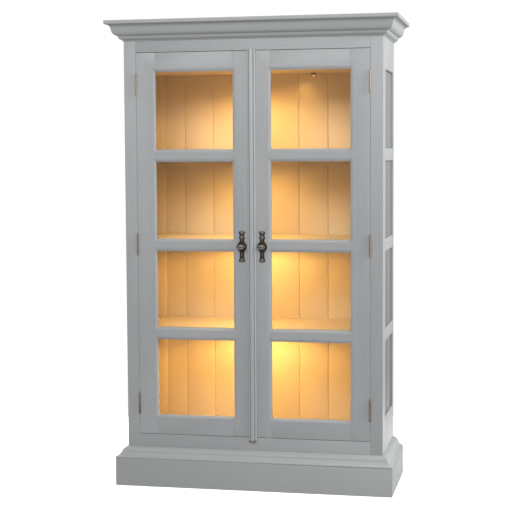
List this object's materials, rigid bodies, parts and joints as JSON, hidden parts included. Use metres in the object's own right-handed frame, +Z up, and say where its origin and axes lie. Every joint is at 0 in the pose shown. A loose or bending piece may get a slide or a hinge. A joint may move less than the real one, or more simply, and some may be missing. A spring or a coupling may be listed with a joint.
{
  "type": "curio cabinet",
  "caption": "Tall painted display cabinet with glazed double doors, fixed shelves, small inner lamps, boarded sides and back, cornice and plinth.",
  "frame": {"origin": "centre of the whole footprint at the base, cornice overhang included", "axes": "+X to the cabinet's right seen from the front, doors face -Y, +Z up"},
  "size_m": [1.31, 0.508, 2.1],
  "materials": {
    "grey_paint": "brushed light grey paint, satin",
    "inner_paint": "cream paint, matt",
    "glass": "clear float glass",
    "bronze": "antique bronze, worn",
    "hinge_brass": "aged brass",
    "steel": "plain steel",
    "lamp_metal": "satin",
    "lamp_lens": "frosted, warm light",
    "plastic": "matt black"
  },
  "bodies": {
    "carcass": {"front_post_left": "grey_paint", "front_post_right": "grey_paint", "rear_post_left": "grey_paint", "rear_post_right": "grey_paint", "side_rails_left": "grey_paint", "side_rails_right": "grey_paint", "side_boards_left": "grey_paint", "side_boards_right": "grey_paint", "frieze_rail": "grey_paint", "base_rail": "grey_paint", "door_stop_rail": "inner_paint", "back_boards": "inner_paint", "cable_grommet": "plastic", "top_board": "grey_paint", "ceiling_board": "inner_paint", "floor_board": "inner_paint", "sub_base": "grey_paint", "cornice_front": "grey_paint", "cornice_left": "grey_paint", "cornice_right": "grey_paint", "plinth_board_front": "grey_paint", "plinth_board_left": "grey_paint", "plinth_board_right": "grey_paint", "plinth_moulding_front": "grey_paint", "plinth_moulding_left": "grey_paint", "plinth_moulding_right": "grey_paint", "shelf_lower": "inner_paint", "shelf_middle": "inner_paint", "shelf_upper": "inner_paint", "shelf_cleats": "inner_paint", "spot_lamps": "lamp_metal", "lamp_lenses": "lamp_lens", "light_driver": "plastic", "latch_keeps": "steel", "frame_leaves": "hinge_brass", "hinge_pins": "hinge_brass", "frame_leaf_screws": "steel"},
    "left_door": {"left_hinge_stile": "grey_paint", "left_meeting_stile": "grey_paint", "left_door_rails": "grey_paint", "left_glazing_bars": "grey_paint", "left_panes": "glass", "left_glazing_beads": "grey_paint", "left_handle_plate": "bronze", "left_door_leaves": "hinge_brass", "left_leaf_screws": "steel"},
    "right_door": {"right_hinge_stile": "grey_paint", "right_meeting_stile": "grey_paint", "right_door_rails": "grey_paint", "right_glazing_bars": "grey_paint", "right_panes": "glass", "right_glazing_beads": "grey_paint", "right_handle_plate": "bronze", "right_door_leaves": "hinge_brass", "right_leaf_screws": "steel", "meeting_strip": "grey_paint"},
    "left_knob": {"left_turn_knob": "bronze", "left_latch_tongue": "steel"},
    "right_knob": {"right_turn_knob": "bronze", "right_latch_tongue": "steel"}
  },
  "joints": [
    {"name": "left_door_hinge", "type": "hinge", "parent": "carcass", "child": "left_door", "pos_m": [-0.527, -0.1876, 1.0965], "axis": [0, 0, -1], "range_deg": [0, 170]},
    {"name": "right_door_hinge", "type": "hinge", "parent": "carcass", "child": "right_door", "pos_m": [0.527, -0.1876, 1.0965], "axis": [0, 0, 1], "range_deg": [0, 170]},
    {"name": "left_knob_turn", "type": "hinge", "parent": "left_door", "child": "left_knob", "pos_m": [-0.046, -0.2, 1.093], "axis": [0, 1, 0], "range_deg": [0, 90]},
    {"name": "right_knob_turn", "type": "hinge", "parent": "right_door", "child": "right_knob", "pos_m": [0.046, -0.2, 1.093], "axis": [0, -1, 0], "range_deg": [0, 90]}
  ]
}
